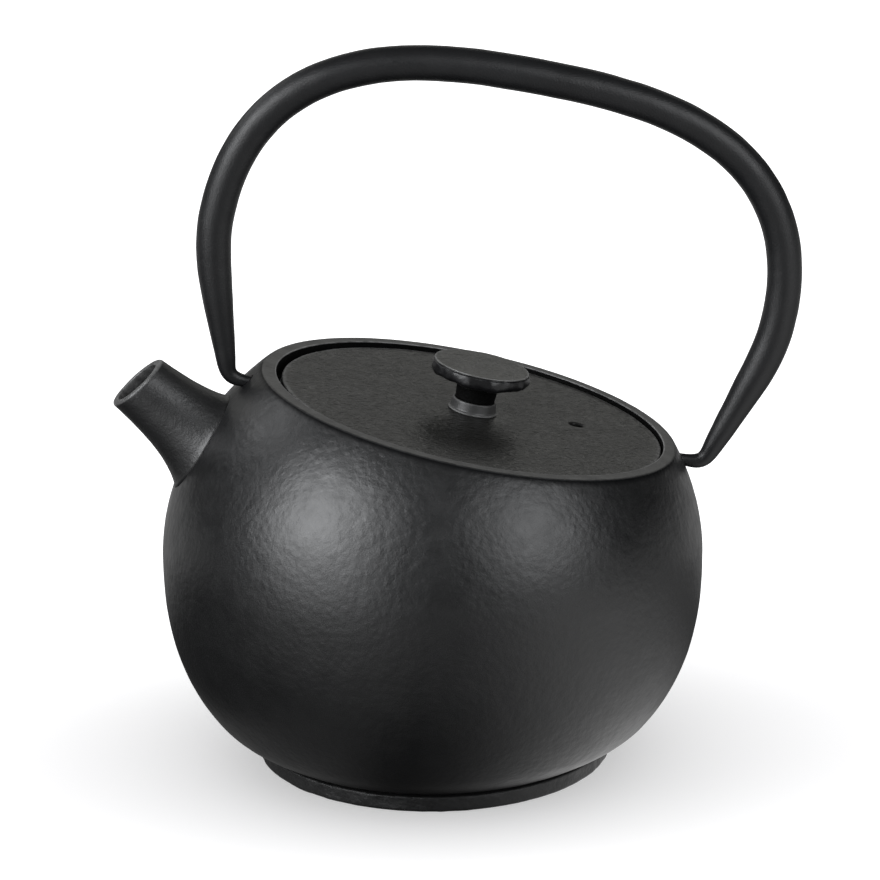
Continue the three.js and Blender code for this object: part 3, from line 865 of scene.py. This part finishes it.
def enamel(name, colour, tint, roughness, grains, specular=0.5, highlight_colour=0.1, peel=None):
    """Black enamel over a casting, lighter where the mesh carries painted highlight and with less shine where
    it carries painted shade.
    grains is a list of (cells per metre, depth in mm, detail, stretch); peel is (cells per metre, depth)."""
    material, nodes, links = nodes_of(name)
    shader = nodes["Principled BSDF"]
    place = add(nodes, "ShaderNodeTexCoord").outputs["Object"]
    patches = noise_node(nodes, links, place, 45.0, 4.0, 0.6)
    mix = add(nodes, "ShaderNodeMix", data_type="RGBA")
    mix.inputs[6].default_value = (*colour, 1.0)
    mix.inputs[7].default_value = (*tint, 1.0)
    links.new(spread(nodes, links, patches, 0.0, 1.0), mix.inputs[0])

    # Painted highlight: marked edges are mixed towards a lighter colour. Painted shade: below 0 the shine is
    # turned down.
    painted_light = add(nodes, "ShaderNodeAttribute", attribute_name="painted_light").outputs["Fac"]
    patchy = noise_node(nodes, links, place, 400.0, 2.0)
    share = add(nodes, "ShaderNodeMath", operation="MULTIPLY")
    links.new(painted_light, share.inputs[0])
    links.new(spread(nodes, links, patchy, 0.3, 1.0), share.inputs[1])
    edge = add(nodes, "ShaderNodeMix", data_type="RGBA")
    edge.inputs[7].default_value = (highlight_colour, highlight_colour, highlight_colour, 1.0)
    links.new(mix.outputs[2], edge.inputs[6])
    links.new(share.outputs[0], edge.inputs[0])
    links.new(edge.outputs[2], shader.inputs["Base Color"])

    gloss = noise_node(nodes, links, place, 160.0, 3.0, 0.6)
    level = spread(nodes, links, gloss, roughness - GLOSS_SPREAD, roughness + GLOSS_SPREAD)
    links.new(level, shader.inputs["Roughness"])
    painted_shade = add(nodes, "ShaderNodeMapRange")
    painted_shade.inputs["From Min"].default_value = -1.0
    painted_shade.inputs["From Max"].default_value = 0.0
    painted_shade.inputs["To Min"].default_value = SHADE_SPECULAR
    painted_shade.inputs["To Max"].default_value = specular
    links.new(painted_light, painted_shade.inputs["Value"])
    links.new(painted_shade.outputs["Result"], shader.inputs["Specular IOR Level"])
    normal = None
    if peel is not None:
        normal = bump(nodes, links, pebbles(nodes, links, place, peel[0]), peel[1])
    for scale, depth, detail, stretch in grains:
        grain = noise_node(nodes, links, place, scale, detail, 0.5, stretch)
        normal = bump(nodes, links, grain, depth, normal)
    links.new(normal, shader.inputs["Normal"])
    return material


def steel(name):
    """Brushed stainless steel."""
    material, nodes, links = nodes_of(name)
    shader = nodes["Principled BSDF"]
    place = add(nodes, "ShaderNodeTexCoord").outputs["Object"]
    brush = noise_node(nodes, links, place, 900.0, 3.0, 0.6, (1.0, 1.0, 0.06))
    shader.inputs["Base Color"].default_value = (0.60, 0.61, 0.62, 1.0)
    shader.inputs["Metallic"].default_value = 1.0
    links.new(spread(nodes, links, brush, 0.22, 0.4), shader.inputs["Roughness"])
    links.new(bump(nodes, links, brush, 0.02), shader.inputs["Normal"])
    return material


# ---- Assembly ----
def finish_piece(obj, material, body, slot, *nodes):
    """Gives a piece its material, the body it rides on and the CAD nodes that it replaces."""
    obj.data.materials.clear()
    obj.data.materials.append(material)
    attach(obj, body)
    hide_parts(*nodes)


def build_teapot():
    pot_iron = enamel(
        "pot_iron", (0.0014, 0.0015, 0.0017), (0.0024, 0.0025, 0.0028), 0.39,
        [(1000.0, 0.04, 1.0, None), (2000.0, 0.015, 1.0, None)], peel=(520.0, 0.075))
    foot_iron = enamel(
        "foot_iron", (0.002, 0.002, 0.0021), (0.004, 0.004, 0.0042), 0.55,
        [(420.0, 0.35, 2.0, None), (1400.0, 0.1, 2.0, None)])
    spout_iron = enamel(
        "spout_iron", (0.0016, 0.0017, 0.0019), (0.0030, 0.0031, 0.0034), 0.46,
        [(800.0, 0.1, 1.0, None), (1800.0, 0.06, 1.0, None)], specular=0.62)
    lid_iron = enamel(
        "lid_iron", (0.0025, 0.0025, 0.0022), (0.0050, 0.0050, 0.0045), 0.36,
        [(750.0, 0.52, 2.0, (0.6, 1.0, 1.0))], specular=0.45, highlight_colour=0.16)
    # Painted light: the knob's flat top is a lighter, shinier copy of the lid's iron.
    lit_top_iron = enamel(
        "lit_top_iron", (0.01, 0.01, 0.0092), (0.018, 0.018, 0.0165), 0.36,
        [(800.0, 0.4, 2.0, (0.6, 1.0, 1.0))], specular=0.56, highlight_colour=0.2)
    lip_iron = enamel(
        "lip_iron", (0.0012, 0.0012, 0.0015), (0.002, 0.002, 0.0024), 0.36,
        [(700.0, 0.12, 2.0, None)], specular=0.36)
    # Painted shade: the darkest, least shiny iron, put on the knob's stem, the lid's seat and the spout's
    # bore.
    shade_iron = enamel(
        "shade_iron", (0.0008, 0.0008, 0.0008), (0.0016, 0.0016, 0.0016), 0.7,
        [(900.0, 0.25, 2.0, None)], specular=0.05)
    bar_iron = enamel(
        "bar_iron", (0.0016, 0.0017, 0.0021), (0.0026, 0.0028, 0.0034), 0.43,
        [(2100.0, 0.075, 2.0, None)], specular=0.37)
    collar_paint = enamel(
        "collar_paint", (0.014, 0.014, 0.014), (0.02, 0.02, 0.02), 0.42,
        [(1500.0, 0.015, 1.0, None)], highlight_colour=0.09)
    brushed = steel("brushed_steel")
    pot = build_pot()
    finish_piece(pot, pot_iron, "pot", "pot_iron", "pot_body")
    paint_pot(pot, pot_iron, foot_iron, shade_iron)
    spout = build_spout()
    finish_piece(spout, spout_iron, "pot", "pot_iron", "spout")
    paint_bore(spout, shade_iron)
    finish_piece(build_lid(), lid_iron, "lid", "lid_iron", "lid_plate")
    knob = build_knob()
    finish_piece(knob, lid_iron, "lid", "lid_iron", "lid_knob")
    paint_knob(knob, lit_top_iron, lip_iron, shade_iron)
    finish_piece(build_collar(), collar_paint, "lid", "collar", "knob_collar")
    finish_piece(build_bail(), bar_iron, "bail", "handle_iron", "handle")
    finish_piece(build_infuser_ring(), brushed, "infuser", "steel", "infuser_rim")
    finish_piece(build_infuser_wall(), brushed, "infuser", "steel", "infuser_wall")
    finish_piece(build_infuser_base(), brushed, "infuser", "steel", "infuser_base")
    for name in ("knob_washer", "knob_screw"):
        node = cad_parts[name]
        node.data.materials.clear()
        node.data.materials.append(brushed)


# ---- Studio, in metres ----
FLOOR_HALF = 3.0
FLOOR_LEVEL = -0.0002
SHADOW_OVAL = (0.72, 1.45, 1.0)
SHADOW_START, SHADOW_END = 0.05, 0.24
FLOOR_WHITE, SHADOW_WHITE = 0.5, 0.42  # light added far out, and everywhere, leaving a painted shadow in the oval round the pot
# What reflections see of the floor: a base level, and what each brighter patch adds.
GLOW_BASE, GLOW_BEHIND, GLOW_BESIDE, GLOW_LEFT, GLOW_RIGHT = 0.035, 0.48, 0.15, 0.7, 1.1
LEFT_BEARING, RIGHT_BEARING = 230.0, 324.0
LEFT_WIDTH, RIGHT_WIDTH = 6.0, 4.0  # powers: higher is narrower
# What reflections see of the world.
WORLD_BASE, WORLD_OVERHEAD, WORLD_BAND = 0.012, 0.15, 0.83
LIGHT_TINT = (0.965, 0.98, 1.0)
AIM_HEIGHT = 0.09
# name, azimuth, elevation, distance, width, height, power
SOFTBOXES = [
    ("left_wide", -48, 21, 1.0, 0.85, 1.1, 7.6),
    ("left_core", -62, 31, 0.95, 0.6, 0.6, 8.0),
    ("left_rim", -122, 36, 0.95, 0.34, 0.34, 0.95),
    ("right_wide", 43, 26, 1.0, 0.85, 0.85, 3.9),
    ("right_core", 45, 29, 0.95, 0.45, 0.5, 2.3),
]


def smooth_share(nodes, links, value, low, high):
    """0 below low, 1 above high, smooth between."""
    node = add(nodes, "ShaderNodeMapRange", interpolation_type="SMOOTHSTEP")
    node.inputs["From Min"].default_value = low
    node.inputs["From Max"].default_value = high
    links.new(value, node.inputs["Value"])
    return node.outputs["Result"]


def camera_switch(nodes, links):
    """A shader mix that shows its second shader to the camera only."""
    switch = add(nodes, "ShaderNodeMixShader")
    links.new(add(nodes, "ShaderNodeLightPath").outputs["Is Camera Ray"], switch.inputs[0])
    return switch


def sector(nodes, links, place, azimuth, power):
    """A soft share: 1 towards an azimuth (degrees, anticlockwise from +X), 0 at right angles to it."""
    unit = add(nodes, "ShaderNodeVectorMath", operation="NORMALIZE")
    links.new(place, unit.inputs[0])
    aside = add(nodes, "ShaderNodeVectorMath", operation="DOT_PRODUCT")
    links.new(unit.outputs[0], aside.inputs[0])
    angle = math.radians(azimuth)
    aside.inputs[1].default_value = (math.cos(angle), math.sin(angle), 0.0)
    facing = add(nodes, "ShaderNodeMath", operation="MAXIMUM")
    links.new(aside.outputs["Value"], facing.inputs[0])
    facing.inputs[1].default_value = 0.0
    share = add(nodes, "ShaderNodeMath", operation="POWER")
    links.new(facing.outputs[0], share.inputs[0])
    share.inputs[1].default_value = power
    return share.outputs[0]


def build_floor():
    """A white floor. The camera sees it softly shadowed by the pot, with a painted shadow on top: its glow is
    dimmer in an oval round the pot and plain white further out.
    Reflections in the iron see it dark, with brighter patches behind, on the left and on the right."""
    size = FLOOR_HALF
    corners = [(-size, -size, 0), (size, -size, 0), (size, size, 0), (-size, size, 0)]
    mesh = bpy.data.meshes.new("floor")
    mesh.from_pydata(corners, [], [(0, 1, 2, 3)])
    floor = bpy.data.objects.new("floor", mesh)
    floor.location.z = FLOOR_LEVEL
    bpy.context.scene.collection.objects.link(floor)
    material, nodes, links = nodes_of("pale_floor")
    place = add(nodes, "ShaderNodeTexCoord").outputs["Object"]

    seen = nodes["Principled BSDF"]
    seen.inputs["Base Color"].default_value = (0.64, 0.64, 0.65, 1.0)
    seen.inputs["Roughness"].default_value = 1.0
    seen.inputs["Specular IOR Level"].default_value = 0.0
    seen.inputs["Emission Color"].default_value = (1.0, 1.0, 1.0, 1.0)
    oval = add(nodes, "ShaderNodeVectorMath", operation="MULTIPLY")
    links.new(place, oval.inputs[0])
    oval.inputs[1].default_value = SHADOW_OVAL
    length = add(nodes, "ShaderNodeVectorMath", operation="LENGTH")
    links.new(oval.outputs[0], length.inputs[0])
    far = smooth_share(nodes, links, length.outputs["Value"], SHADOW_START, SHADOW_END)
    links.new(scaled(nodes, links, far, FLOOR_WHITE, SHADOW_WHITE), seen.inputs["Emission Strength"])

    glow = add(nodes, "ShaderNodeEmission")
    split = add(nodes, "ShaderNodeSeparateXYZ")
    links.new(place, split.inputs[0])
    behind = smooth_share(nodes, links, split.outputs["Y"], 0.06, 0.19)
    dim = scaled(nodes, links, behind, GLOW_BEHIND, GLOW_BASE)
    beside = add(nodes, "ShaderNodeMath", operation="MULTIPLY")
    links.new(smooth_share(nodes, links, split.outputs["X"], -0.02, -0.05), beside.inputs[0])
    links.new(smooth_share(nodes, links, split.outputs["X"], -0.10, -0.07), beside.inputs[1])
    dim = scaled(nodes, links, beside.outputs[0], GLOW_BESIDE, dim)
    far_left = add(nodes, "ShaderNodeMath", operation="MULTIPLY")
    links.new(sector(nodes, links, place, LEFT_BEARING, LEFT_WIDTH), far_left.inputs[0])
    distance = add(nodes, "ShaderNodeVectorMath", operation="LENGTH")
    links.new(place, distance.inputs[0])
    links.new(smooth_share(nodes, links, distance.outputs["Value"], 0.08, 0.3), far_left.inputs[1])
    dim = scaled(nodes, links, far_left.outputs[0], GLOW_LEFT, dim)
    right = sector(nodes, links, place, RIGHT_BEARING, RIGHT_WIDTH)
    links.new(scaled(nodes, links, right, GLOW_RIGHT, dim), glow.inputs["Strength"])
    switch = camera_switch(nodes, links)
    links.new(glow.outputs[0], switch.inputs[1])
    links.new(seen.outputs[0], switch.inputs[2])
    links.new(switch.outputs[0], nodes["Material Output"].inputs["Surface"])
    floor.data.materials.append(material)
    return floor


def build_world():
    """Plain white, except in reflections, where it is dim all round and brighter behind and overhead."""
    world = bpy.data.worlds.new("studio")
    bpy.context.scene.world = world
    world.use_nodes = True
    nodes, links = world.node_tree.nodes, world.node_tree.links
    place = add(nodes, "ShaderNodeTexCoord").outputs["Generated"]
    split = add(nodes, "ShaderNodeSeparateXYZ")
    links.new(place, split.inputs[0])
    behind = smooth_share(nodes, links, split.outputs["Y"], 0.45, 0.95)
    low = smooth_share(nodes, links, split.outputs["Z"], 0.64, 0.36)
    high = smooth_share(nodes, links, split.outputs["Z"], 0.14, 0.3)
    level = add(nodes, "ShaderNodeMath", operation="MULTIPLY")
    links.new(low, level.inputs[0])
    links.new(high, level.inputs[1])
    band = add(nodes, "ShaderNodeMath", operation="MULTIPLY")
    links.new(behind, band.inputs[0])
    links.new(level.outputs[0], band.inputs[1])
    overhead = smooth_share(nodes, links, split.outputs["Z"], 0.8, 1.0)
    dim = scaled(nodes, links, overhead, WORLD_OVERHEAD, WORLD_BASE)
    around = add(nodes, "ShaderNodeBackground")
    links.new(scaled(nodes, links, band.outputs[0], WORLD_BAND, dim), around.inputs["Strength"])
    around.inputs["Color"].default_value = (1.0, 1.0, 0.96, 1.0)
    white = nodes["Background"]
    white.inputs["Color"].default_value = (1.0, 1.0, 1.0, 1.0)
    switch = add(nodes, "ShaderNodeMixShader")
    links.new(add(nodes, "ShaderNodeLightPath").outputs["Is Glossy Ray"], switch.inputs[0])
    links.new(white.outputs[0], switch.inputs[1])
    links.new(around.outputs[0], switch.inputs[2])
    links.new(switch.outputs[0], nodes["World Output"].inputs["Surface"])


def softbox(name, azimuth, elevation, distance, width, height, power, unlit):
    """An area light that looks at the pot and leaves out one object.
    Azimuth 0 is in front and 90 on the right."""
    light = bpy.data.lights.new(name, "AREA")
    light.shape = "RECTANGLE"
    light.size, light.size_y = width, height
    light.energy = power
    light.color = LIGHT_TINT
    obj = bpy.data.objects.new(name, light)
    a, e = math.radians(azimuth), math.radians(elevation)
    out = Vector((math.sin(a) * math.cos(e), -math.cos(a) * math.cos(e), math.sin(e)))
    obj.location = Vector((AXIS_X, 0, AIM_HEIGHT)) + out * distance
    obj.rotation_mode = "QUATERNION"
    obj.rotation_quaternion = out.to_track_quat("Z", "Y")
    obj.visible_camera = False
    left_out = bpy.data.collections.new(name + "_leaves_out")
    left_out.objects.link(unlit)
    left_out.collection_objects[0].light_linking.link_state = "EXCLUDE"
    obj.light_linking.receiver_collection = left_out
    bpy.context.scene.collection.objects.link(obj)


def build_camera():
    azimuth, elevation, roll = math.radians(-3.0), math.radians(17.4), math.radians(-0.5)
    distance, lens = 1.0, 148.2
    aim = Vector((AXIS_X + 2.3 * MM, 0.0, 90.0 * MM))
    level = math.cos(elevation)
    back = Vector((math.sin(azimuth) * level, -math.cos(azimuth) * level, math.sin(elevation)))
    right = Vector((math.cos(azimuth), math.sin(azimuth), 0.0))
    up = back.cross(right)
    right, up = (
        right * math.cos(roll) + up * math.sin(roll),
        up * math.cos(roll) - right * math.sin(roll),
    )
    camera = bpy.data.objects.new("camera", bpy.data.cameras.new("camera"))
    camera.data.lens = lens
    camera.data.clip_start, camera.data.clip_end = 0.05, 20.0
    turn = Matrix((right, up, back)).transposed().to_4x4()
    camera.matrix_world = Matrix.Translation(aim + back * distance) @ turn
    bpy.context.scene.collection.objects.link(camera)
    bpy.context.scene.camera = camera


def build_studio():
    floor = build_floor()
    build_world()
    for settings in SOFTBOXES:
        softbox(*settings, floor)
    build_camera()
    bpy.context.scene.view_settings.view_transform = "Standard"


build_teapot()
build_studio()
